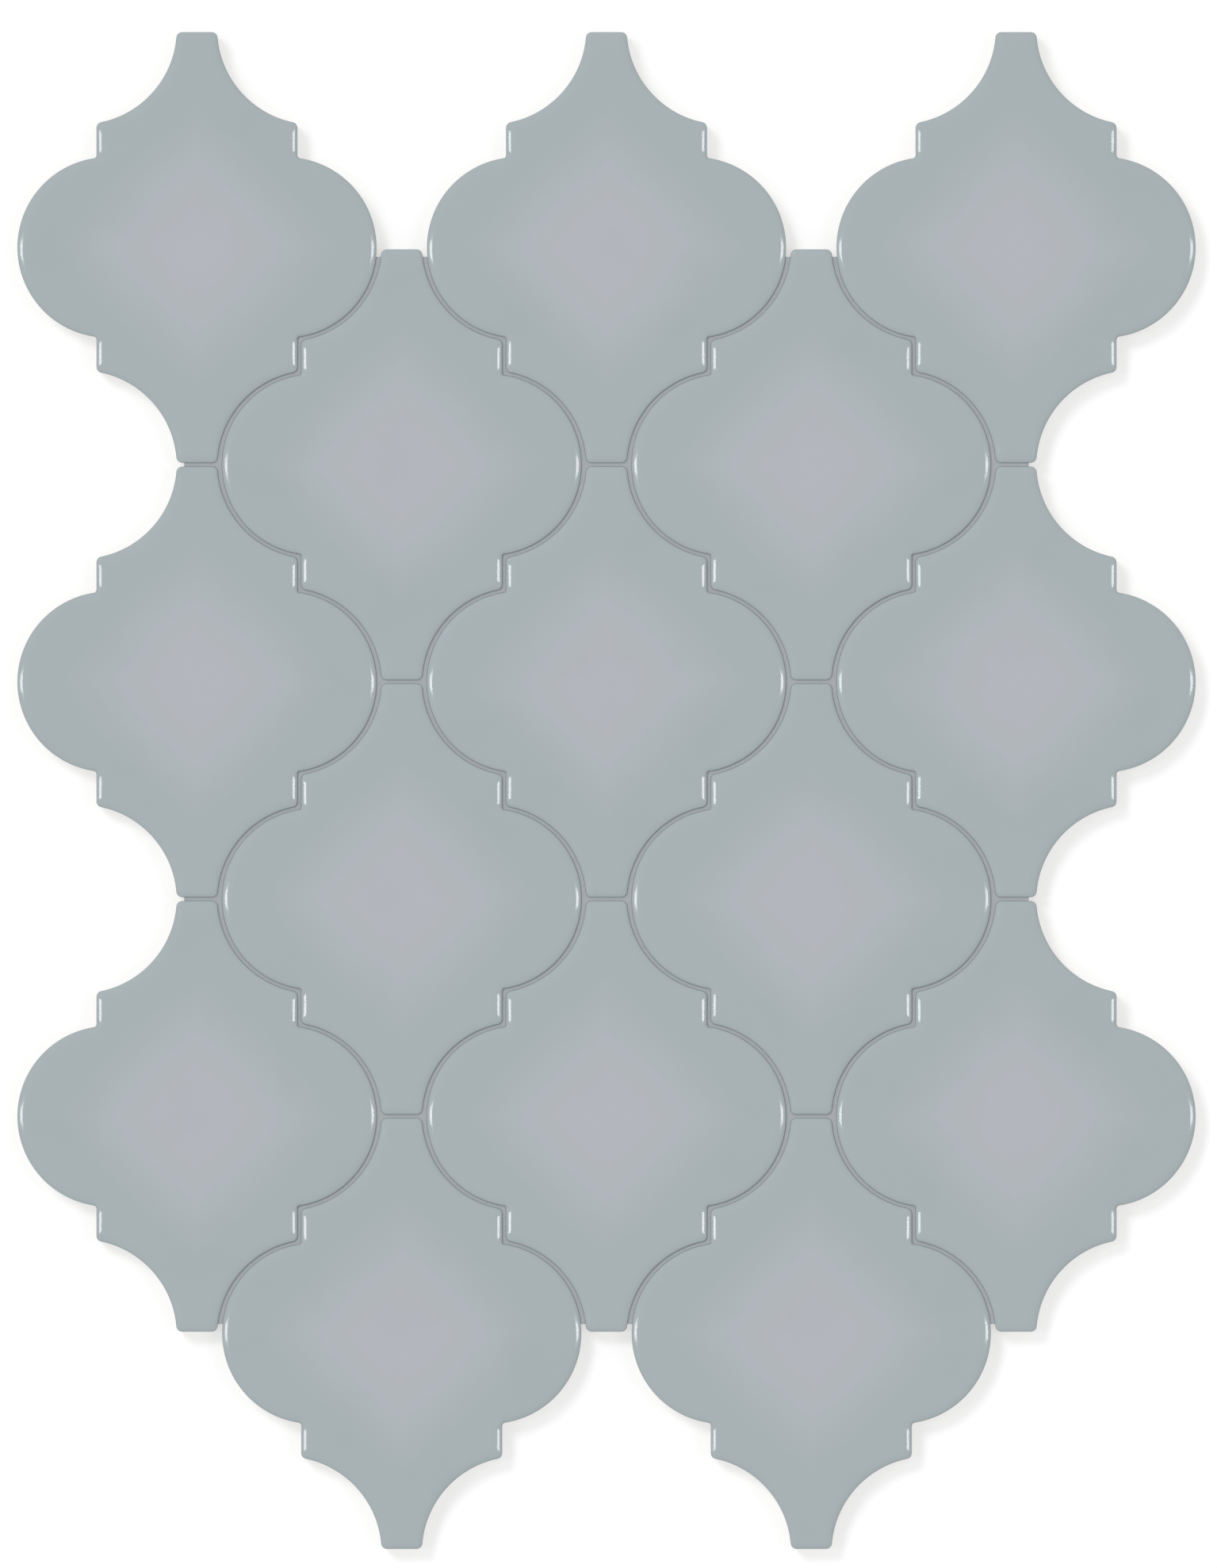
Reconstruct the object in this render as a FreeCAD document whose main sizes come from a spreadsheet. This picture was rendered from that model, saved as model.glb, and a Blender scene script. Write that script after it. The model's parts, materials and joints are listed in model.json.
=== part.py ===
import FreeCAD, Part
import math
import os

import Sketcher

# Arabesque mosaic sheet, lying face up.
# Fifteen pressed and glazed lantern tiles stand edge to edge in six staggered rows, each lobe nested in the
# hollows of its neighbours. A flexible filler in the joints holds them together as one sheet.
# Millimetres. The origin is the middle of the sheet on the plane of the tile backs, +Z comes out of the
# glazed faces, and +Y runs up the sheet, towards the first row.

# Driving dimensions: alias, value, what it is.
DRIVING_SIZES = (
    ("tile_width", 76.2, "across the two side lobes"),
    ("tile_height", 91.4, "from tip to tip"),
    ("tile_thickness", 7.0, "back to glazed face"),
    ("tip_width", 8.6, "flat end of a tip, before its corners are rounded"),
    ("lobe_radius", 19.15, "side lobe, seen from above"),
    ("corner_radius", 1.25, "outer corners of the outline"),
    ("notch_radius", 0.7, "inner corners, where a shoulder meets a lobe"),
    ("edge_radius", 0.6, "cushion edge round the glazed face"),
    ("groove_width", 3.0, "key groove pressed into the back"),
    ("groove_depth", 0.5, "key groove, into the back"),
    ("groove_margin", 5.0, "plain rim round the key grooves"),
    ("joint_width", 0.8, "gap between tips, shoulders, and a lobe and the floor of its hollow"),
    ("side_gap", 1.05, "wider gap from the end of a lobe to the tips beside it"),
    ("joint_recess", 0.3, "foot of the cushion edge down to the filler"),
    ("back_recess", 0.2, "floor of a key groove up to the filler"),
    ("filler_margin", 1.6, "filler's end, short of the outermost tip edges"),
)

# Sizes that follow from the driving ones: alias, formula, what it is.
DERIVED_SIZES = (
    ("column_pitch", "=tile_width + tip_width + 2 * side_gap", "tile to tile along a row"),
    ("row_pitch", "=tile_height + joint_width", "tile to tile up a column"),
    ("half_width", "=tile_width / 2", "tile's axis to the end of a lobe"),
    ("half_height", "=tile_height / 2", "middle of the tile to the end of a tip"),
    ("lobe_centre", "=half_width - lobe_radius", "tile's axis to the middle of a lobe's arc"),
    ("hollow_radius", "=lobe_radius + side_gap", "hollow that takes a neighbour's lobe"),
    ("hollow_across", "=tip_width / 2 + hollow_radius", "tile's axis to the middle of a hollow's arc"),
    ("hollow_up", "=row_pitch / 2 + side_gap - joint_width", "middle of the tile up to a hollow's middle"),
    ("tip_rise", "=hollow_up - half_height", "tip to the middle of a hollow's arc, along Y"),
    ("tip_half", "=hollow_across - sqrt(hollow_radius ^ 2 - tip_rise ^ 2)", "tile's axis to a tip's corner"),
    ("shoulder_half", "=column_pitch / 4 - joint_width / 2", "tile's axis to its straight shoulder"),
    ("shoulder_run", "=hollow_across - shoulder_half", "shoulder to the middle of a hollow's arc, along X"),
    ("shoulder_top", "=hollow_up - sqrt(hollow_radius ^ 2 - shoulder_run ^ 2)", "shoulder's top, along Y"),
    ("lobe_run", "=shoulder_half - lobe_centre", "shoulder to the middle of a lobe's arc, along X"),
    ("shoulder_foot", "=sqrt(lobe_radius ^ 2 - lobe_run ^ 2)", "shoulder's foot, along Y"),
    ("groove_length", "=2 * (shoulder_half - groove_margin)", "key groove along X"),
    ("groove_reach", "=shoulder_top - groove_margin", "middle of the tile to the last groove's far side"),
    ("groove_span", "=2 * groove_reach - groove_width", "first key groove to the last"),
    ("filler_length", "=2 * (column_pitch + tip_width / 2 - filler_margin)", "filler along X"),
    ("filler_width", "=2 * (0.75 * row_pitch + half_height - filler_margin)", "filler along Y"),
    ("filler_base", "=groove_depth + back_recess", "tile backs up to the filler"),
    ("filler_height", "=tile_thickness - edge_radius - joint_recess - filler_base", "filler along Z"),
)

# Counts: wide and narrow rows take turns, from the top of the sheet down.
ROW_COUNT = 6
WIDE_ROW = ("left", "middle", "right")
NARROW_ROW = ("left", "right")
GROOVE_COUNT = 6

UP = FreeCAD.Vector(0, 0, 1)
SAME_PLACE = 1e-4

# How a sketch numbers the points of a curve and its own axes.
START, END, CENTRE = range(1, 4)
Y_AXIS, X_AXIS = range(-2, 0)
ORIGIN = (X_AXIS, START)

doc = FreeCAD.newDocument("arabesque_sheet")
sheet = doc.addObject("Spreadsheet::Sheet", "Sizes")


def fill_sheet():
    """Writes every size to the sheet, each with its alias and a note."""
    for row, (alias, value, note) in enumerate(DRIVING_SIZES + DERIVED_SIZES, start=1):
        sheet.set(f"A{row}", note)
        sheet.set(f"B{row}", str(value))
        sheet.setAlias(f"B{row}", alias)
    doc.recompute()


def size(alias):
    """Value of a size on the sheet, in millimetres."""
    return float(getattr(sheet, alias))


def point(across, up):
    """A point of a sketch."""
    return FreeCAD.Vector(across, up, 0)


def plane(body, role):
    """One of a body's own origin planes."""
    return next(feature for feature in body.Origin.OriginFeatures if feature.Role == role)


def sketch_on_back(body, name):
    """An empty sketch on the plane of the tile's back."""
    sketch = body.newObject("Sketcher::SketchObject", name)
    sketch.AttachmentSupport = [(plane(body, "XY_Plane"), "")]
    sketch.MapMode = "FlatFace"
    return sketch


def close_loop(sketch, links):
    """Joins the ends of a sketch's curves, two (curve, end) pairs at a time."""
    for first, second in links:
        sketch.addConstraint(Sketcher.Constraint("Coincident", *first, *second))


def keep_straight(sketch, level_lines, upright_lines):
    """Holds lines of a sketch level or upright."""
    for curve in level_lines:
        sketch.addConstraint(Sketcher.Constraint("Horizontal", curve))
    for curve in upright_lines:
        sketch.addConstraint(Sketcher.Constraint("Vertical", curve))


def dimension(sketch, kind, places, alias):
    """Adds a dimension to a sketch, bound to a size on the sheet and named after it."""
    index = sketch.addConstraint(Sketcher.Constraint(kind, *places, size(alias)))
    sketch.renameConstraint(index, alias)
    sketch.setExpression(f"Constraints.{alias}", f"Sizes.{alias}")


def arc(centre, radius, first, last):
    """A counter-clockwise arc about a centre, from the direction of one point to that of another."""
    turn = 2 * math.pi
    angles = [math.atan2(end.y - centre.y, end.x - centre.x) % turn for end in (first, last)]
    return Part.ArcOfCircle(Part.Circle(centre, UP, radius), *angles)


def draw_quarter_outline(sketch):
    """A quarter of the lantern: half a tip, a hollow, a shoulder and half a lobe, closed along both axes."""
    middle = point(0, 0)
    tip_middle = point(0, size("half_height"))
    tip_corner = point(size("tip_half"), size("half_height"))
    shoulder_top = point(size("shoulder_half"), size("shoulder_top"))
    shoulder_foot = point(size("shoulder_half"), size("shoulder_foot"))
    lobe_end = point(size("half_width"), 0)
    hollow_centre = point(size("hollow_across"), size("hollow_up"))
    lobe_centre = point(size("lobe_centre"), 0)

    upright = sketch.addGeometry(Part.LineSegment(middle, tip_middle))
    tip = sketch.addGeometry(Part.LineSegment(tip_middle, tip_corner))
    hollow = sketch.addGeometry(arc(hollow_centre, size("hollow_radius"), tip_corner, shoulder_top))
    shoulder = sketch.addGeometry(Part.LineSegment(shoulder_top, shoulder_foot))
    lobe = sketch.addGeometry(arc(lobe_centre, size("lobe_radius"), lobe_end, shoulder_foot))
    level = sketch.addGeometry(Part.LineSegment(lobe_end, middle))

    close_loop(
        sketch,
        (
            ((upright, START), ORIGIN),
            ((upright, END), (tip, START)),
            ((tip, END), (hollow, START)),
            ((hollow, END), (shoulder, START)),
            ((shoulder, END), (lobe, END)),
            ((lobe, START), (level, START)),
            ((level, END), ORIGIN),
        ),
    )
    keep_straight(sketch, (tip, level), (upright, shoulder))
    sketch.addConstraint(Sketcher.Constraint("PointOnObject", lobe, CENTRE, X_AXIS))

    dimension(sketch, "DistanceY", (*ORIGIN, upright, END), "half_height")
    dimension(sketch, "DistanceX", (*ORIGIN, level, START), "half_width")
    dimension(sketch, "DistanceX", (*ORIGIN, shoulder, START), "shoulder_half")
    dimension(sketch, "DistanceX", (*ORIGIN, hollow, CENTRE), "hollow_across")
    dimension(sketch, "DistanceY", (*ORIGIN, hollow, CENTRE), "hollow_up")
    dimension(sketch, "Radius", (hollow,), "hollow_radius")
    dimension(sketch, "Radius", (lobe,), "lobe_radius")


def draw_groove(sketch):
    """The lowest key groove: a rectangle across the tile, evenly about its axis."""
    side = size("groove_length") / 2
    bottom = -size("groove_reach")
    top = bottom + size("groove_width")
    corners = (point(-side, bottom), point(side, bottom), point(side, top), point(-side, top))
    lines = [
        sketch.addGeometry(Part.LineSegment(corner, corners[(number + 1) % len(corners)]))
        for number, corner in enumerate(corners)
    ]
    lower, right, upper, left = lines

    close_loop(sketch, [((lines[number - 1], END), (lines[number], START)) for number in range(len(lines))])
    keep_straight(sketch, (upper,), (right, left))
    sketch.addConstraint(Sketcher.Constraint("Symmetric", lower, START, lower, END, Y_AXIS))
    dimension(sketch, "DistanceX", (lower, START, lower, END), "groove_length")
    dimension(sketch, "DistanceY", (right, START, right, END), "groove_width")
    dimension(sketch, "DistanceY", (lower, START, *ORIGIN), "groove_reach")


def mirror(body, name, role):
    """Doubles the body across one of its origin planes."""
    mirrored = body.newObject("PartDesign::Mirrored", name)
    mirrored.TransformMode = "Whole shape"
    mirrored.MirrorPlane = (plane(body, role), [""])
    mirrored.Refine = True
    body.Tip = mirrored
    doc.recompute()
    return mirrored


def press_grooves(body, blank):
    """Key grooves in the back, one drawn and the rest patterned up the tile."""
    sketch = sketch_on_back(body, "groove_outline")
    draw_groove(sketch)
    groove = body.newObject("PartDesign::Pocket", "groove")
    groove.Profile = sketch
    groove.Reversed = True
    groove.setExpression("Length", "Sizes.groove_depth")
    doc.recompute()

    grooves = body.newObject("PartDesign::LinearPattern", "grooves")
    grooves.Originals = [groove]
    grooves.Direction = (sketch, ["V_Axis"])
    grooves.Occurrences = GROOVE_COUNT
    grooves.setExpression("Length", "Sizes.groove_span")
    body.Tip = grooves
    doc.recompute()

    groove_volume = size("groove_length") * size("groove_width") * size("groove_depth")
    taken = blank.Shape.Volume - grooves.Shape.Volume
    if not math.isclose(taken, GROOVE_COUNT * groove_volume, rel_tol=SAME_PLACE):
        raise RuntimeError("the key grooves aren't cut whole")
    return grooves


def upright_edges(shape, places):
    """Names of the upright edges that stand at the given places of the first quarter, or at their mirrors."""
    found = []
    for number, edge in enumerate(shape.Edges, start=1):
        first, last = edge.Vertexes[0].Point, edge.Vertexes[-1].Point
        is_upright = math.hypot(first.x - last.x, first.y - last.y) < SAME_PLACE
        for across, up in places:
            if is_upright and math.hypot(abs(first.x) - across, abs(first.y) - up) < SAME_PLACE:
                found.append(f"Edge{number}")
    return found


def top_face(shape):
    """Name of the flat face on top."""
    top = shape.BoundBox.ZMax
    for number, face in enumerate(shape.Faces, start=1):
        if face.BoundBox.ZMin > top - SAME_PLACE:
            return f"Face{number}"
    raise RuntimeError("the tile has no flat top")


def round_off(body, name, base, edges, alias):
    """Rounds the named edges, or all round the named faces, by a radius on the sheet."""
    fillet = body.newObject("PartDesign::Fillet", name)
    fillet.Base = (base, edges)
    fillet.setExpression("Radius", f"Sizes.{alias}")
    doc.recompute()
    return fillet


def press_tile():
    """The tile that the press makes: lantern blank, key grooves, rounded corners, then the cushion edge."""
    body = doc.addObject("PartDesign::Body", "pressed_tile")
    outline = sketch_on_back(body, "outline")
    draw_quarter_outline(outline)
    quarter = body.newObject("PartDesign::Pad", "quarter")
    quarter.Profile = outline
    quarter.setExpression("Length", "Sizes.tile_thickness")
    doc.recompute()
    mirror(body, "half", "YZ_Plane")
    blank = mirror(body, "blank", "XZ_Plane")
    grooves = press_grooves(body, blank)

    tip_corner = (size("tip_half"), size("half_height"))
    shoulder_corner = (size("shoulder_half"), size("shoulder_top"))
    notch = (size("shoulder_half"), size("shoulder_foot"))
    outer = upright_edges(grooves.Shape, (tip_corner, shoulder_corner))
    corners = round_off(body, "corners", grooves, outer, "corner_radius")
    inner = upright_edges(corners.Shape, (notch,))
    notches = round_off(body, "notches", corners, inner, "notch_radius")
    round_off(body, "cushion_edge", notches, [top_face(notches.Shape)], "edge_radius")
    return body


def lay_tile(pressed, label, across, up):
    """One tile of the sheet: a clone of the pressed one, placed by formulas for its middle."""
    tile = doc.addObject("PartDesign::Body", label)
    tile.Label = label
    clone = doc.addObject("PartDesign::FeatureBase", f"{label}_clone")
    clone.BaseFeature = pressed
    tile.Group = [clone]
    tile.Tip = clone
    tile.setExpression("Placement.Base.x", across)
    tile.setExpression("Placement.Base.y", up)
    return tile


def lay_tiles(pressed):
    """All the tiles, row by row from the top of the sheet, each row half a column from the one before."""
    tiles = []
    for row in range(ROW_COUNT):
        places = NARROW_ROW if row % 2 else WIDE_ROW
        rows_up = (ROW_COUNT - 1) / 2 - row
        for column, place in enumerate(places):
            columns_across = column - (len(places) - 1) / 2
            label = f"tile_row{row + 1}_{place}"
            across = f"Sizes.column_pitch * {columns_across}"
            up = f"Sizes.row_pitch / 2 * {rows_up}"
            tiles.append(lay_tile(pressed, label, across, up))
    doc.recompute()
    return tiles


def fill_joints(tiles):
    """The filler: a slab with all the tiles cut out of it, which leaves the web in the joints."""
    slab = doc.addObject("Part::Box", "filler_slab")
    slab.setExpression("Length", "Sizes.filler_length")
    slab.setExpression("Width", "Sizes.filler_width")
    slab.setExpression("Height", "Sizes.filler_height")
    slab.setExpression("Placement.Base.x", "-Sizes.filler_length / 2")
    slab.setExpression("Placement.Base.y", "-Sizes.filler_width / 2")
    slab.setExpression("Placement.Base.z", "Sizes.filler_base")
    laid = doc.addObject("Part::Compound", "laid_tiles")
    laid.Links = tiles
    filler = doc.addObject("Part::Cut", "joint_filler")
    filler.Label = "joint_filler"
    filler.Base = slab
    filler.Tool = laid
    doc.recompute()
    return filler


def check(subparts):
    """Stops if an object of the document failed, or a sub-part isn't one sound solid."""
    for item in doc.Objects:
        if "Invalid" in item.State or "Error" in item.State:
            raise RuntimeError(f"{item.Name} failed: {item.State}")
    for item in subparts:
        shape = item.Shape
        if shape.isNull() or not shape.isValid() or len(shape.Solids) != 1:
            raise RuntimeError(f"{item.Label} isn't one valid solid: {len(shape.Solids)}")


def export(subparts):
    """Writes each sub-part to a STEP file under its own name."""
    os.makedirs("parts", exist_ok=True)
    for item in subparts:
        item.Shape.exportStep(f"parts/{item.Label}.step")


fill_sheet()
laid_tiles = lay_tiles(press_tile())
sheet_parts = [*laid_tiles, fill_joints(laid_tiles)]
check(sheet_parts)
export(sheet_parts)
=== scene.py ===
import json
import math
import random

import bpy
import numpy as np
from mathutils import Euler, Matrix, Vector
from mathutils.geometry import delaunay_2d_cdt
from mathutils.kdtree import KDTree

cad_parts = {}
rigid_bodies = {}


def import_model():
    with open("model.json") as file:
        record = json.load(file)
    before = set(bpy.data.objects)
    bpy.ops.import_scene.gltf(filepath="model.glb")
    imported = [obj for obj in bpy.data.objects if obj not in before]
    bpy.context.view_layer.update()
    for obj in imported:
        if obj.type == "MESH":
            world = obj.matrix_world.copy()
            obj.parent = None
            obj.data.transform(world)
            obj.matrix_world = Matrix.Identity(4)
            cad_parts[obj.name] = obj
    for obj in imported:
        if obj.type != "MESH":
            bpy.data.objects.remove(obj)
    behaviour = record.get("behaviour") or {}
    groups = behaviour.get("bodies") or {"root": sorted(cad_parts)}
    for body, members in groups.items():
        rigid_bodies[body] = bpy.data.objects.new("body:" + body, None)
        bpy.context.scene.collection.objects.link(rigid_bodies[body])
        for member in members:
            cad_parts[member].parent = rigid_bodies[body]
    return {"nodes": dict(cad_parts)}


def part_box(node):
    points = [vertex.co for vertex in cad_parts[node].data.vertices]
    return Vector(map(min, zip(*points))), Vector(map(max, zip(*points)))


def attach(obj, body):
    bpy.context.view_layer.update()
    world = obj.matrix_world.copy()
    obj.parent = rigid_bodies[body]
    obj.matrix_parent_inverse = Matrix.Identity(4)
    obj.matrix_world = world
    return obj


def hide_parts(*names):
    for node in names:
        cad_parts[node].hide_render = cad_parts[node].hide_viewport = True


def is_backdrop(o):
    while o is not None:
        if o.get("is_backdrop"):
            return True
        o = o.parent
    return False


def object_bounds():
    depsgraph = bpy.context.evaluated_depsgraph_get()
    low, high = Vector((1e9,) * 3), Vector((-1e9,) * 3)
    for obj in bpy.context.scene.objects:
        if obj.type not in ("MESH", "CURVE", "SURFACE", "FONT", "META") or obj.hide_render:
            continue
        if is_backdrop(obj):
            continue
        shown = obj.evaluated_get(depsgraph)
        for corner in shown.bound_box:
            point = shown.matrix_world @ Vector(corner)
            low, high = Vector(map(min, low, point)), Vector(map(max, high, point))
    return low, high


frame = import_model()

cad_low, cad_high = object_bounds()


# Lantern tiles: fifteen like tiles of dust-pressed stoneware, each lobe nested in its neighbours' hollows.
# The face, its cushion edge and the upper walls carry a glossy grey glaze that pools a shade paler in the
# middle. The lower walls and the back, with its pressed key grooves, are bare clay.
MM = 0.001                  # in metres: the sizes of tiles and filler are in millimetres


def box_in_mm(node):
    """Lowest and highest corner of a piece, in millimetres."""
    return [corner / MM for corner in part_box(node)]


tile_nodes = sorted(name for name in frame["nodes"] if name.startswith("tile_"))
middle_low, middle_high = box_in_mm("tile_row3_middle")
left_low, _ = box_in_mm("tile_row3_left")
upper_low, _ = box_in_mm("tile_row1_middle")
tile_width, tile_height, tile_thickness = middle_high - middle_low
column_pitch = middle_low.x - left_low.x
row_pitch = upper_low.y - middle_low.y
joint_width = row_pitch - tile_height

side_gap = 1.05             # from the end of a lobe to the tips beside it
lobe_radius = 19.15
hollow_radius = lobe_radius + side_gap
corner_radius = 1.25
notch_radius = 0.7
tip_width = column_pitch - tile_width - 2 * side_gap
shoulder = column_pitch / 4 - joint_width / 2       # from the tile's middle
# Centres of the right-hand lobe and of the hollow above it.
lobe = (tile_width / 2 - lobe_radius, 0)
hollow = (tip_width / 2 + hollow_radius, row_pitch / 2 + side_gap - joint_width)

edge_width = 2.5            # cushion edge, seen from above
edge_drop = 0.62            # cushion edge, seen from the side
edge_steps = 14
notch_softening = 1.8       # how much rounder the notches are on the cushion edge than in the clay
notch_run = 0.8             # inset at which they are that round
crown_height = 0.25         # how much lower the face is at the tips than in the middle
face_step = 2.2             # from point to point across the face
rim_gap = 0.6 * face_step   # from the rim of the face to the first of those points

curve_points = 46           # along each lobe and hollow, in a quarter of the outline
corner_points = 8           # round each corner and notch
straight_points = 9         # along each shoulder and half tip
same_spot = 0.001           # closer points of a mesh are joined
tile_sharp_angle = 30       # degrees between faces from which an edge shows

glaze_thickness = 0.12
glaze_line = 2.6            # where the glaze ends on the walls, above the back
glaze_line_sway = 0.45
sway_waves = ((0.6, 3, 9), (0.4, 7, 23))    # share, waves round the tile, and how the firing shifts them
glaze_lip = 0.25            # height of the rounded end of the glaze
lip_turn = 0.3              # where that end turns, as a share of its height and of the glaze's thickness
arris = 0.3                 # worn lower edge of the clay

groove_count = 6
groove_width = 3.0
groove_depth = 0.5
groove_margin = 5.0
groove_corner = 0.9
groove_draft = 0.3
square_corners = ((1, 1), (-1, 1), (-1, -1), (1, -1))


def arc(centre, radius, start, end, outward, count):
    """Points on an arc, up to but without its end, with their outward directions: -1 in a hollow."""
    angles = np.linspace(start, end, count, endpoint=False)
    spokes = np.column_stack([np.cos(angles), np.sin(angles)])
    return np.hstack([np.array(centre) + radius * spokes, outward * spokes])


def straight(start, end, outward):
    """Points on a straight stretch, up to but without its end, with their outward direction."""
    return np.hstack([
        np.linspace(start, end, straight_points, endpoint=False),
        np.tile(outward, (straight_points, 1)),
    ])


def direction(start, end):
    """Angle of the line from one point to another."""
    return math.atan2(end[1] - start[1], end[0] - start[0])


def smooth_step(value, start, end):
    """Rises evenly from 0 at the start to 1 at the end, with no kink at either."""
    share = min(max((value - start) / (end - start), 0), 1)
    return share**2 * (3 - 2 * share)


def lantern_outline(inset):
    """The tile's outline at an inset, anticlockwise: x, y and the outward direction at each point."""
    side = shoulder - inset
    top = tile_height / 2 - inset
    inner_lobe = lobe_radius - inset
    outer_hollow = hollow_radius + inset
    rounding = notch_radius + notch_softening * smooth_step(inset, 0, notch_run)
    reach = outer_hollow + corner_radius

    notch_x = side + rounding
    notch = (notch_x, math.sqrt((inner_lobe + rounding) ** 2 - (notch_x - lobe[0]) ** 2))
    corner_x = side - corner_radius
    corner = (corner_x, hollow[1] - math.sqrt(reach**2 - (hollow[0] - corner_x) ** 2))
    tip_y = top - corner_radius
    tip = (hollow[0] - math.sqrt(reach**2 - (hollow[1] - tip_y) ** 2), tip_y)

    to_notch = direction(lobe, notch)
    to_hollow = direction(corner, hollow)
    tip_to_hollow = direction(tip, hollow)
    quarter = np.vstack([
        arc(lobe, inner_lobe, 0, to_notch, 1, curve_points),
        arc(notch, rounding, to_notch + math.pi, math.pi, -1, corner_points),
        straight((side, notch[1]), (side, corner[1]), (1, 0)),
        arc(corner, corner_radius, 0, to_hollow, 1, corner_points),
        arc(hollow, outer_hollow, to_hollow + math.pi, tip_to_hollow + math.pi, -1, curve_points),
        arc(tip, corner_radius, tip_to_hollow, math.pi / 2, 1, corner_points),
        straight((tip[0], top), (0, top), (0, 1)),
        [(0, top, 0, 1)],
    ])
    mirrored = (quarter * (-1, 1, -1, 1))[-2::-1]
    half = np.vstack([quarter, mirrored])[:-1]
    return np.vstack([half, -half])


def groove_outline(middle_y, inset):
    """Points round a key groove at an inset: a rectangle across the tile, with rounded corners."""
    centre_x = shoulder - groove_margin - groove_corner
    centre_y = groove_width / 2 - groove_corner
    points = []
    for turn, (side_x, side_y) in enumerate(square_corners):
        centre = (side_x * centre_x, middle_y + side_y * centre_y)
        start, end = turn * math.pi / 2, (turn + 1) * math.pi / 2
        points.append(arc(centre, groove_corner - inset, start, end, 1, corner_points)[:, :2])
    return np.vstack(points)


def search_tree(flat):
    """A tree that finds the nearest of some flat points."""
    tree = KDTree(len(flat))
    for number, (x, y) in enumerate(flat):
        tree.insert((x, y, 0), number)
    tree.balance()
    return tree


def triangulate(loops, inner):
    """Flat triangles inside the first loop and outside the others, through the inner points."""
    starts = np.cumsum([0] + [len(loop) for loop in loops])
    numbers = [list(range(start, end)) for start, end in zip(starts, starts[1:])]
    flat = [Vector(point) for point in np.vstack([*loops, *inner])]
    points, _, triangles, origins, _, inside = delaunay_2d_cdt(flat, [], numbers, 0, same_spot, True)
    kept = [triangle for triangle, loop_numbers in zip(triangles, inside) if list(loop_numbers) == [0]]
    return points, kept, origins


class TileMesh:
    """Gathers the vertices and faces of one tile, in millimetres about its middle."""

    def __init__(self):
        self.vertices = []
        self.faces = []
        self.is_clay = []

    def add_points(self, flat, heights):
        """Adds vertices at flat points, all at one height or each at its own, and gives their numbers."""
        first = len(self.vertices)
        levels = np.broadcast_to(heights, len(flat))
        self.vertices.extend((float(x), float(y), float(z)) for (x, y), z in zip(flat, levels))
        return list(range(first, len(self.vertices)))

    def add_ring(self, inset, heights):
        """Adds vertices along the outline at an inset, and gives their numbers."""
        return self.add_points(lantern_outline(inset)[:, :2], heights)

    def add_faces(self, faces, is_clay):
        """Adds faces by vertex numbers, all of clay or all of glaze."""
        self.faces.extend(faces)
        self.is_clay.extend([is_clay] * len(faces))

    def join_rings(self, lower, upper, is_clay):
        """A band of faces between two rings of as many vertices."""
        lower_after = lower[1:] + lower[:1]
        upper_after = upper[1:] + upper[:1]
        self.add_faces(list(zip(lower, lower_after, upper_after, upper)), is_clay)

    def fill(self, rings, is_clay, faces_up, inner=(), height_at=None):
        """Triangles inside the first ring and outside the others, through inner points at their heights."""
        ring_numbers = [number for ring in rings for number in ring]
        loops = [[self.vertices[number][:2] for number in ring] for ring in rings]
        points, triangles, origins = triangulate(loops, inner)
        numbers = []
        for point, origin in zip(points, origins):
            if origin[0] < len(ring_numbers):
                numbers.append(ring_numbers[origin[0]])
            else:
                numbers += self.add_points([point], height_at(*point))
        faces = [[numbers[n] for n in triangle] for triangle in triangles]
        self.add_faces(faces if faces_up else [face[::-1] for face in faces], is_clay)


rim = lantern_outline(edge_width)


def face_height(x, y):
    """Height of the slightly crowned face above the back."""
    return tile_thickness - crown_height * (x**2 + y**2) / (tile_height / 2) ** 2


def spread_over_face():
    """Points in staggered rows across the face, clear of its rim."""
    rim_tree = search_tree(rim[:, :2])
    row_step = face_step * math.sqrt(0.75)
    rows = math.ceil(tile_height / 2 / row_step)
    columns = math.ceil(tile_width / 2 / face_step)
    points = []
    for row in range(-rows, rows + 1):
        for column in range(-columns, columns + 1):
            spot = Vector(((column + 0.5 * (row % 2)) * face_step, row * row_step, 0))
            nearest, number, _ = rim_tree.find(spot)
            if (spot - nearest).xy.dot(Vector(rim[number, 2:])) < -rim_gap:
                points.append(spot.xy)
    return points


def raise_foot(tile, firing):
    """The clay foot of the walls, and the lip of the glaze on it. Gives the lowest and the highest ring."""
    turn = np.linspace(0, 2 * math.pi, len(rim), endpoint=False)
    sway = sum(share * np.sin(waves * turn + shift * firing) for share, waves, shift in sway_waves)
    line = glaze_line + glaze_line_sway * sway
    back = tile.add_ring(glaze_thickness + arris, 0)
    clay_foot = tile.add_ring(glaze_thickness, arris)
    clay_top = tile.add_ring(glaze_thickness, line)
    lip = tile.add_ring(lip_turn * glaze_thickness, line + lip_turn * glaze_lip)
    lip_top = tile.add_ring(0, line + glaze_lip)
    tile.join_rings(back, clay_foot, is_clay=True)
    tile.join_rings(clay_foot, clay_top, is_clay=True)
    tile.join_rings(clay_top, lip, is_clay=False)
    tile.join_rings(lip, lip_top, is_clay=False)
    return back, lip_top


def round_edge(tile, below):
    """The glazed walls and the cushion edge, up from the lip's ring. Gives the ring at the face's rim."""
    rim_heights = face_height(rim[:, 0], rim[:, 1])
    for angle in np.linspace(0, math.pi / 2, edge_steps + 1):
        inset = edge_width * (1 - math.cos(angle))
        above = tile.add_ring(inset, rim_heights - edge_drop * (1 - math.sin(angle)))
        tile.join_rings(below, above, is_clay=False)
        below = above
    return below


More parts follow.
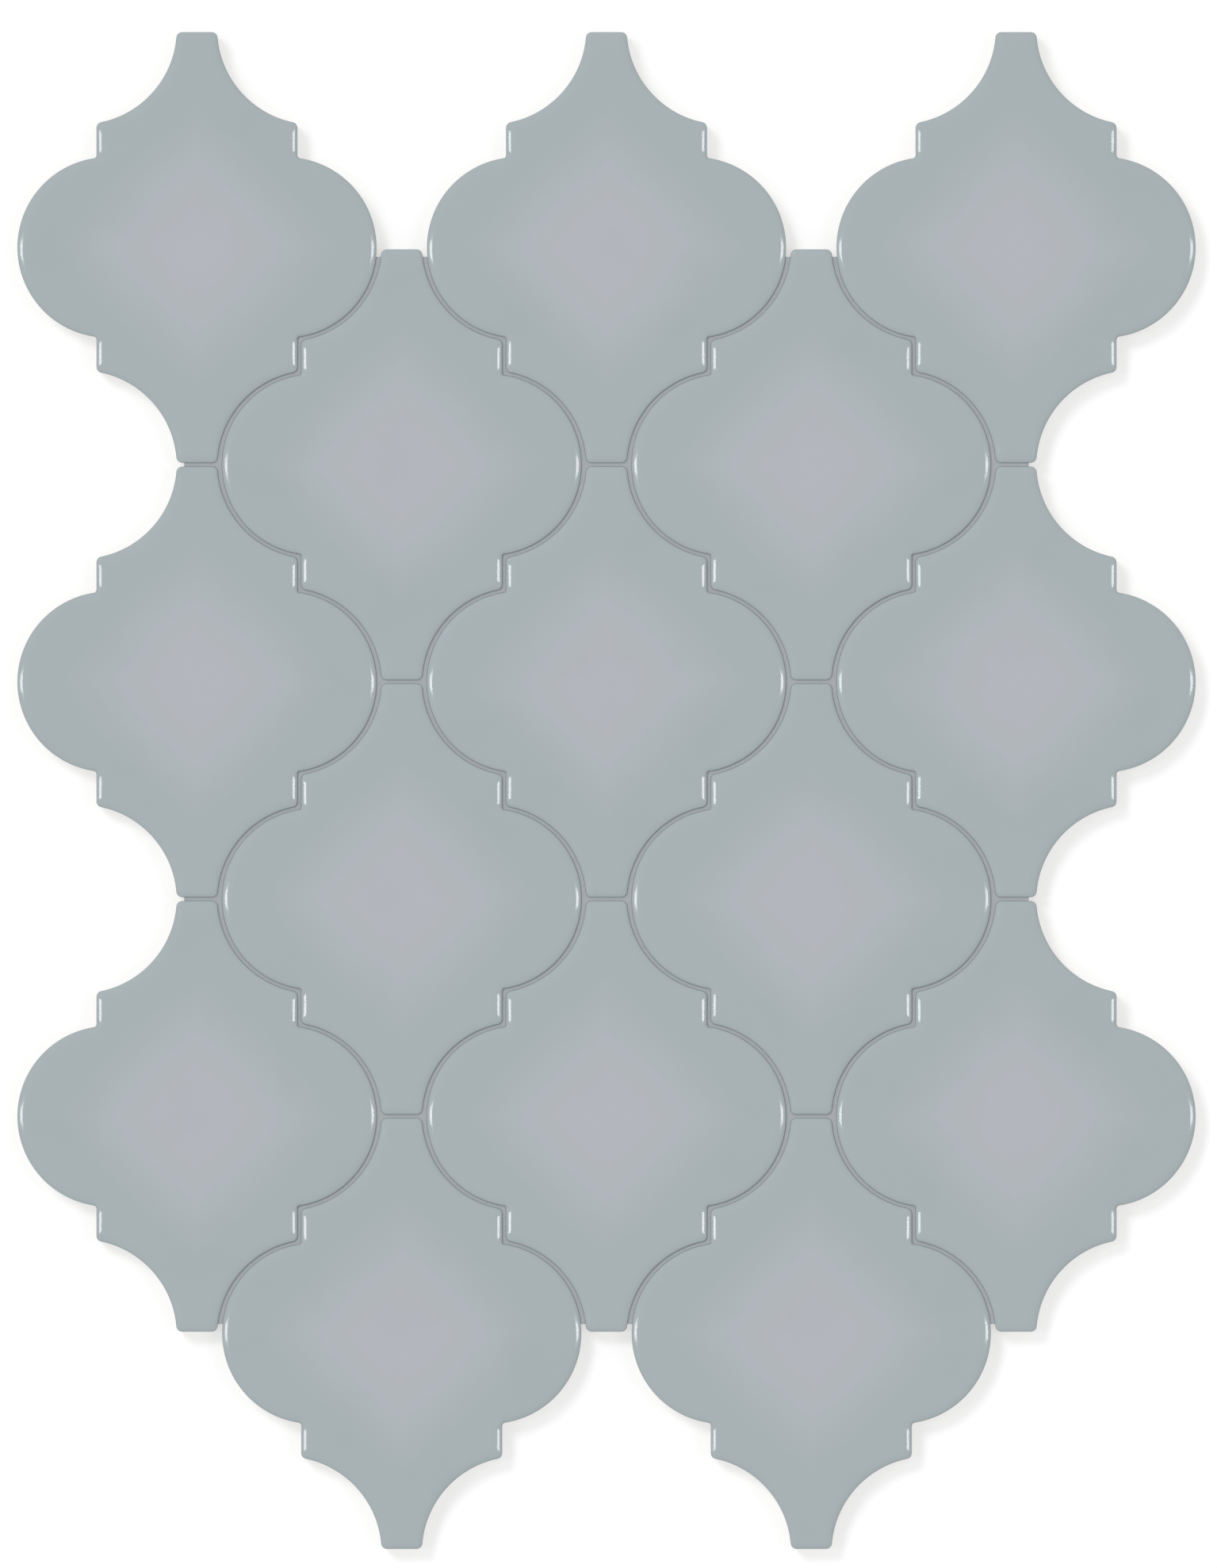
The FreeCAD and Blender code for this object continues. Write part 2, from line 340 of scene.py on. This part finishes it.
def press_back(tile, back):
    """The bare back inside its ring, with the key grooves pressed into it from shoulder to shoulder."""
    shoulder_top = hollow[1] - math.sqrt(hollow_radius**2 - (hollow[0] - shoulder) ** 2)
    reach = shoulder_top - groove_margin - groove_width / 2
    mouths = []
    for middle_y in np.linspace(-reach, reach, groove_count):
        mouth = tile.add_points(groove_outline(middle_y, 0), 0)
        bottom = tile.add_points(groove_outline(middle_y, groove_draft), groove_depth)
        tile.join_rings(bottom, mouth, is_clay=True)
        tile.add_faces([bottom[::-1]], is_clay=True)
        mouths.append(mouth)
    tile.fill([back, *mouths], is_clay=True, faces_up=False)


face_points = spread_over_face()


def tile_mesh(name, firing):
    """Mesh of one tile about its middle, from the back up. firing sets the sway of its glaze line."""
    tile = TileMesh()
    back, lip_top = raise_foot(tile, firing)
    face_ring = round_edge(tile, lip_top)
    tile.fill([face_ring], is_clay=False, faces_up=True, inner=face_points, height_at=face_height)
    press_back(tile, back)

    mesh = bpy.data.meshes.new(name)
    mesh.from_pydata([Vector(vertex) * MM for vertex in tile.vertices], [], tile.faces)
    mesh.polygons.foreach_set("material_index", [int(clay) for clay in tile.is_clay])
    firings = mesh.attributes.new("firing", "FLOAT", "POINT").data
    firings.foreach_set("value", [firing] * len(mesh.vertices))
    mesh.shade_smooth()
    mesh.set_sharp_from_angle(angle=math.radians(tile_sharp_angle))
    return mesh


def linear(code):
    """Linear colour of an sRGB hex code."""
    levels = [int(code[start:start + 2], 16) / 255 for start in (1, 3, 5)]
    return [v / 12.92 if v <= 0.04045 else ((v + 0.055) / 1.055) ** 2.4 for v in levels] + [1.0]


def add_node(tree, kind, inputs=None, **settings):
    """Adds a node with its settings. Each named or numbered input gets a value or another node's output."""
    node = tree.nodes.new(kind)
    for name, value in settings.items():
        setattr(node, name, value)
    for key, value in (inputs or {}).items():
        if isinstance(value, bpy.types.NodeSocket):
            tree.links.new(value, node.inputs[key])
        else:
            node.inputs[key].default_value = value
    return node


def new_material(name, sockets):
    """A material with the plain sockets of its shader set, its node tree and the shader."""
    material = bpy.data.materials.new(name)
    material.use_nodes = True
    shader = material.node_tree.nodes["Principled BSDF"]
    for socket, value in sockets.items():
        shader.inputs[socket].default_value = value
    return material, material.node_tree, shader


# Glossy stoneware glaze, sprayed and fired: a smooth glassy skin with mirror-like glints on the cushion
# edge. It is a cool green grey, painted a paler, more neutral grey in a soft diamond in the middle: a
# painted reflection of the light on the crowned face.
glaze, tree, shader = new_material("glossy_stoneware_glaze", {"IOR": 1.52})
# The paler tones towards the middle are a painted reflection of the light on the crowned face.
glaze_and_reflection_tones = (             # distance from the middle, and the tone there
    (9.0, "#B1B4BA"),
    (16.5, "#AEB4B9"),
    (21.0, "#AAB3B7"),
    (25.0, "#A8B0B3"),
    (30.0, "#A4AFB2"),
)
painted_reflection_reach = glaze_and_reflection_tones[-1][0]
painted_reflection_roundness = 0.3        # 0 makes the painted reflection a diamond, 1 a circle
glaze_dark = linear("#9AA5A8")
mottle_size = 14.0
mottle_low, mottle_high = 0.5, 0.8          # noise at which the mottle starts, and is at its darkest
mottle_strength = 0.18
roughness_low, roughness_high = 0.06, 0.12
ripple_size = 9.0
ripple_height = 0.004
colour_a, colour_b, colour_out = 6, 7, 2    # numbers of a Mix node's colour sockets

place = add_node(tree, "ShaderNodeTexCoord").outputs["Object"]
firing = add_node(tree, "ShaderNodeAttribute", attribute_name="firing").outputs["Fac"]
flat = add_node(tree, "ShaderNodeVectorMath", {0: place, 1: (1, 1, 0)}, operation="MULTIPLY").outputs[0]
folded = add_node(tree, "ShaderNodeVectorMath", {0: flat}, operation="ABSOLUTE").outputs[0]
diamond = add_node(
    tree, "ShaderNodeVectorMath", {0: folded, 1: (1, 1, 0)}, operation="DOT_PRODUCT"
).outputs["Value"]
circle = add_node(tree, "ShaderNodeVectorMath", {0: flat}, operation="LENGTH").outputs["Value"]
soft_diamond = add_node(
    tree, "ShaderNodeMix", {"Factor": painted_reflection_roundness, "A": diamond, "B": circle}
).outputs["Result"]
reach = add_node(
    tree, "ShaderNodeMath", {0: soft_diamond, 1: painted_reflection_reach * MM}, operation="DIVIDE"
).outputs[0]
# Painted reflection: the glaze's colour is paler towards the middle of the face.
painted_reflection = add_node(tree, "ShaderNodeValToRGB", {"Fac": reach})
painted_reflection.color_ramp.interpolation = "B_SPLINE"
stops = painted_reflection.color_ramp.elements
while len(stops) < len(glaze_and_reflection_tones):
    stops.new(1.0)
for stop, (distance, tone) in zip(stops, glaze_and_reflection_tones):
    stop.position = distance / painted_reflection_reach
    stop.color = linear(tone)
glaze_with_painted_reflection = painted_reflection.outputs["Color"]
mottle = add_node(
    tree, "ShaderNodeTexNoise",
    {"Vector": place, "W": firing, "Scale": 1 / (mottle_size * MM), "Detail": 3.0},
    noise_dimensions="4D",
).outputs["Fac"]
darker = add_node(
    tree, "ShaderNodeMapRange",
    {"Value": mottle, "From Min": mottle_low, "From Max": mottle_high, "To Max": mottle_strength},
).outputs["Result"]
mottled = add_node(
    tree, "ShaderNodeMix", {"Factor": darker, colour_a: glaze_with_painted_reflection, colour_b: glaze_dark}, data_type="RGBA"
).outputs[colour_out]
sheen = add_node(
    tree, "ShaderNodeMapRange", {"Value": mottle, "To Min": roughness_low, "To Max": roughness_high}
).outputs["Result"]
ripple = add_node(
    tree, "ShaderNodeTexNoise",
    {"Vector": place, "W": firing, "Scale": 1 / (ripple_size * MM), "Detail": 1.0},
    noise_dimensions="4D",
).outputs["Fac"]
rippled = add_node(
    tree, "ShaderNodeBump", {"Height": ripple, "Distance": ripple_height * MM}
).outputs["Normal"]
tree.links.new(mottled, shader.inputs["Base Color"])
tree.links.new(sheen, shader.inputs["Roughness"])
tree.links.new(rippled, shader.inputs["Normal"])

# Bare stoneware clay, pressed dry and fired: a matt, faintly grainy buff with small darker specks.
clay, tree, shader = new_material("bare_stoneware_clay", {"IOR": 1.5, "Roughness": 0.9})
clay_buff = linear("#D6CCBB")
clay_speck = linear("#A8967C")
speck_size = 0.9
speck_low, speck_high = 0.6, 0.75           # noise at which a speck starts, and is at its darkest
speck_strength = 0.5
grain_size = 0.5
grain_height = 0.02

place = add_node(tree, "ShaderNodeTexCoord").outputs["Object"]
firing = add_node(tree, "ShaderNodeAttribute", attribute_name="firing").outputs["Fac"]
specks = add_node(
    tree, "ShaderNodeTexNoise",
    {"Vector": place, "W": firing, "Scale": 1 / (speck_size * MM), "Detail": 2.0},
    noise_dimensions="4D",
).outputs["Fac"]
speckle = add_node(
    tree, "ShaderNodeMapRange",
    {"Value": specks, "From Min": speck_low, "From Max": speck_high, "To Max": speck_strength},
).outputs["Result"]
speckled = add_node(
    tree, "ShaderNodeMix", {"Factor": speckle, colour_a: clay_buff, colour_b: clay_speck}, data_type="RGBA"
).outputs[colour_out]
grain = add_node(
    tree, "ShaderNodeTexNoise", {"Vector": place, "Scale": 1 / (grain_size * MM), "Detail": 2.0}
).outputs["Fac"]
grainy = add_node(
    tree, "ShaderNodeBump", {"Height": grain, "Distance": grain_height * MM}
).outputs["Normal"]
tree.links.new(speckled, shader.inputs["Base Color"])
tree.links.new(grainy, shader.inputs["Normal"])

scene_objects = bpy.context.scene.collection.objects
kiln = random.Random(7)     # gives each tile a firing of its own
for node in tile_nodes:
    low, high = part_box(node)
    tile = bpy.data.objects.new(f"{node}_glazed", tile_mesh(f"{node}_glazed", kiln.random()))
    tile.location = ((low.x + high.x) / 2, (low.y + high.y) / 2, low.z)
    tile.data.materials.append(glaze)
    tile.data.materials.append(clay)
    scene_objects.link(tile)
    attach(tile, "root")
    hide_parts(node)


# Joint filler: the web of flexible grey elastomer, cast between the tiles, that holds them as a sheet.
# It was wiped hollow while soft, stops short of the tiles' faces and backs, and is cut square at its
# open ends.
filler_low, filler_high = box_in_mm("joint_filler")
wipe_depth = 0.17           # how far the wiped hollow sinks below its edges
wipe_reach = 0.42           # from a tile's wall to where the hollow is deepest
painted_shade_width = 0.15         # painted shade: a thin darker line along the walls
wipe_lines = (painted_shade_width, 0.32)           # where lines of points follow the hollow, from the walls
cut_step = 0.15             # from point to point across the cut ends
filler_sharp_angle = 40     # degrees between faces from which an edge shows


def middle_in_mm(node):
    """Middle of a piece seen from above, in millimetres."""
    low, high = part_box(node)
    return np.array((low + high).xy) / (2 * MM)


tile_middles = [middle_in_mm(node) for node in tile_nodes]
wall_lines = [lantern_outline(0)[:, :2] + middle for middle in tile_middles]
walls = np.vstack(wall_lines)
walls_after = np.vstack([np.roll(line, -1, axis=0) for line in wall_lines])
walls_before = np.vstack([np.roll(line, 1, axis=0) for line in wall_lines])
wall_tree = search_tree(walls)


def from_walls(points):
    """Distance of each point from the nearest tile's wall."""
    nearest = [wall_tree.find((x, y, 0))[1] for x, y in points]
    offset = points - walls[nearest]
    distances = []
    for ends in (walls_after, walls_before):
        run = ends[nearest] - walls[nearest]
        share = np.clip((offset * run).sum(axis=1) / (run * run).sum(axis=1), 0, 1)
        distances.append(np.linalg.norm(offset - share[:, None] * run, axis=1))
    return np.minimum(*distances)


def slab_outline():
    """Outline of the slab that the filler was cut to: its corners, and close points across the joints."""
    low, high = np.array(filler_low.xy), np.array(filler_high.xy)
    corners = [low, (high[0], low[1]), high, (low[0], high[1])]
    sides = []
    for start, end in zip(corners, corners[1:] + corners[:1]):
        side = np.linspace(start, end, round(math.dist(start, end) / cut_step), endpoint=False)
        is_kept = from_walls(side) < wipe_reach + cut_step
        is_kept[0] = True       # the corner
        sides.append(side[is_kept])
    return np.vstack(sides)


def filler_mesh():
    """Mesh of the web between the tiles, closed, with a hollow top and a flat underside."""
    lines = [lantern_outline(-wipe)[:, :2] + middle for wipe in wipe_lines for middle in tile_middles]
    wiped = np.vstack(lines)
    in_slab = np.all((wiped > filler_low.xy) & (wiped < filler_high.xy), axis=1)
    points, triangles, _ = triangulate([slab_outline(), *wall_lines], wiped[in_slab])
    used = sorted({number for triangle in triangles for number in triangle})
    count = len(used)
    renumbered = {number: place for place, number in enumerate(used)}
    top = [[renumbered[number] for number in triangle] for triangle in triangles]

    flat = np.array([points[number] for number in used])
    distances = from_walls(flat)
    shallow = 1 - np.minimum(distances / wipe_reach, 1)
    heights = filler_high.z - wipe_depth * (1 - shallow**2)
    upper = np.column_stack([flat, heights])
    lower = np.column_stack([flat, np.full(count, filler_low.z)])
    edges = {(face[n - 1], face[n]) for face in top for n in range(3)}
    rim_edges = sorted((a, b) for a, b in edges if (b, a) not in edges)
    underside = [[number + count for number in reversed(face)] for face in top]
    sides = [(a + count, b + count, b, a) for a, b in rim_edges]

    mesh = bpy.data.meshes.new("joint_filler_wiped")
    mesh.from_pydata((np.vstack([upper, lower]) * MM).tolist(), [], top + underside + sides)
    wall_distances = mesh.attributes.new("from_wall", "FLOAT", "POINT").data
    wall_distances.foreach_set("value", np.tile(distances, 2))
    mesh.shade_smooth()
    mesh.set_sharp_from_angle(angle=math.radians(filler_sharp_angle))
    return mesh


# Filled polyurethane elastomer, wiped hollow while soft: matt and even, with a fine sandy grain, and with
# painted shade in a thin darker line along the tiles' walls, where the filler meets them, which outlines
# every tile.
elastomer, tree, shader = new_material("filled_polyurethane_elastomer", {"IOR": 1.48, "Roughness": 0.75})
elastomer_grey = linear("#AEB3B6")
elastomer_dark = linear("#9EA3A6")
# painted shade where the filler meets the tiles' walls
painted_shade_grey = linear("#7C8184")
sand_size = 0.6             # coarser than real sand, so that it shows
sand_height = 0.03

place = add_node(tree, "ShaderNodeTexCoord").outputs["Object"]
sand = add_node(
    tree, "ShaderNodeTexNoise", {"Vector": place, "Scale": 1 / (sand_size * MM), "Detail": 3.0}
).outputs["Fac"]
sandy = add_node(
    tree, "ShaderNodeMix", {"Factor": sand, colour_a: elastomer_grey, colour_b: elastomer_dark},
    data_type="RGBA",
).outputs[colour_out]
# Painted shade: the filler is darker within a thin line of the tiles' walls.
from_wall = add_node(tree, "ShaderNodeAttribute", attribute_name="from_wall").outputs["Fac"]
wall_shade_share = add_node(
    tree, "ShaderNodeMapRange", {"Value": from_wall, "From Max": painted_shade_width, "To Min": 1.0, "To Max": 0.0}
).outputs["Result"]
with_wall_shade = add_node(
    tree, "ShaderNodeMix", {"Factor": wall_shade_share, colour_a: sandy, colour_b: painted_shade_grey}, data_type="RGBA"
).outputs[colour_out]
rough = add_node(tree, "ShaderNodeBump", {"Height": sand, "Distance": sand_height * MM}).outputs["Normal"]
tree.links.new(with_wall_shade, shader.inputs["Base Color"])
tree.links.new(rough, shader.inputs["Normal"])

filler = bpy.data.objects.new("joint_filler_wiped", filler_mesh())
filler.data.materials.append(elastomer)
scene_objects.link(filler)
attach(filler, "root")
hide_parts("joint_filler")


# Studio floor: a wide sheet of white backdrop paper that the tiles lie on, with no edge in view.
# It keeps the soft shadow of the tiles, and looks white from the camera without more light.
floor_half = 8.0            # metres
floor_gap = 0.02 * MM       # below the tiles' backs
floor_corners = [(x * floor_half, y * floor_half, -floor_gap) for x, y in square_corners]
floor_mesh = bpy.data.meshes.new("studio_floor")
floor_mesh.from_pydata(floor_corners, [], [(0, 1, 2, 3)])
floor = bpy.data.objects.new("studio_floor", floor_mesh)
scene_objects.link(floor)


def background_rays(tree):
    """1 for the rays that see the background: straight from the camera, or off or through the object."""
    ray = add_node(tree, "ShaderNodeLightPath").outputs
    seen = ray["Is Camera Ray"]
    for kind in ("Is Glossy Ray", "Is Transmission Ray"):
        seen = add_node(tree, "ShaderNodeMath", {0: seen, 1: ray[kind]}, operation="MAXIMUM").outputs[0]
    return seen


# White backdrop paper, uncoated: quite matt. For the rays that see the background it also glows a little,
# so that it is an even white but for the shadow.
paper, tree, shader = new_material("white_backdrop_paper", {
    "Base Color": linear("#B4B4B4"),
    "Roughness": 0.9,
    "Specular IOR Level": 0.0,
    "Emission Color": (1, 1, 1, 1),
})
paper_glow = 0.6
glow = add_node(tree, "ShaderNodeMath", {0: background_rays(tree), 1: paper_glow}, operation="MULTIPLY")
tree.links.new(glow.outputs[0], shader.inputs["Emission Strength"])
floor_mesh.materials.append(paper)
floor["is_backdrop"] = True


# Studio light: an even white room, one large soft key from the upper left for the shade in the joints,
# and a strip softbox on each side, which draws the bright glints on the tiles' left and right edges.
# Lengths are in metres and angles in degrees: tilts from straight above, azimuths anticlockwise from +X.
room_fill = 0.564           # of the white that the camera sees
lamp_distance = 40.0        # far off, so that every tile gets the same glints
strip_azimuths = {"left_strip": 180, "right_strip": 0}
strip_tilt = 27
strip_size = (3.66, 10.0)
strip_radiance = 9.8
key_azimuth = 135
key_tilt = 31
key_size = (10.0, 10.0)
key_radiance = 17.4

world = bpy.data.worlds.new("white_studio")
bpy.context.scene.world = world
world.use_nodes = True
tree = world.node_tree
level = add_node(
    tree, "ShaderNodeMapRange", {"Value": background_rays(tree), "To Min": room_fill, "To Max": 1.0}
)
background = tree.nodes["Background"]
background.inputs["Color"].default_value = (1, 1, 1, 1)
tree.links.new(level.outputs["Result"], background.inputs["Strength"])


def softbox(name, azimuth, tilt, size, radiance):
    """A rectangular lamp that faces the sheet, unseen by the camera."""
    lamp = bpy.data.lights.new(name, "AREA")
    lamp.shape = "RECTANGLE"
    lamp.size, lamp.size_y = size
    lamp.energy = radiance * math.pi * math.prod(size)
    box = bpy.data.objects.new(name, lamp)
    aim = Euler((0, math.radians(tilt), math.radians(azimuth))).to_matrix() @ Vector((0, 0, 1))
    box.location = aim * lamp_distance
    box.rotation_euler = aim.to_track_quat("Z", "Y").to_euler()
    box.visible_camera = False
    scene_objects.link(box)
    return box


for name, azimuth in strip_azimuths.items():
    softbox(name, azimuth, strip_tilt, strip_size, strip_radiance)
key = softbox("key_softbox", key_azimuth, key_tilt, key_size, key_radiance)
key.visible_glossy = False  # the strips alone draw glints


# Camera: straight above the sheet with a very long lens, so that all the walls are hidden and the tiles
# keep their true outlines out to the picture's edges.
picture_height = 1978       # pixels
pixel = 0.16821 * MM        # its size on the tiles' faces
camera_x, camera_y = 0.424 * MM, 1.38 * MM          # over the middle of the picture
camera_data = bpy.data.cameras.new("camera")
camera_data.lens = 1200
camera_data.sensor_width = 36
camera_data.sensor_fit = "AUTO"
camera_data.clip_end = 100
camera_height = picture_height * pixel * camera_data.lens / camera_data.sensor_width
camera = bpy.data.objects.new("camera", camera_data)
camera.location = (camera_x, camera_y, camera_height + cad_high.z)
scene_objects.link(camera)
bpy.context.scene.camera = camera
bpy.context.scene.view_settings.view_transform = "Standard"

low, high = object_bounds()
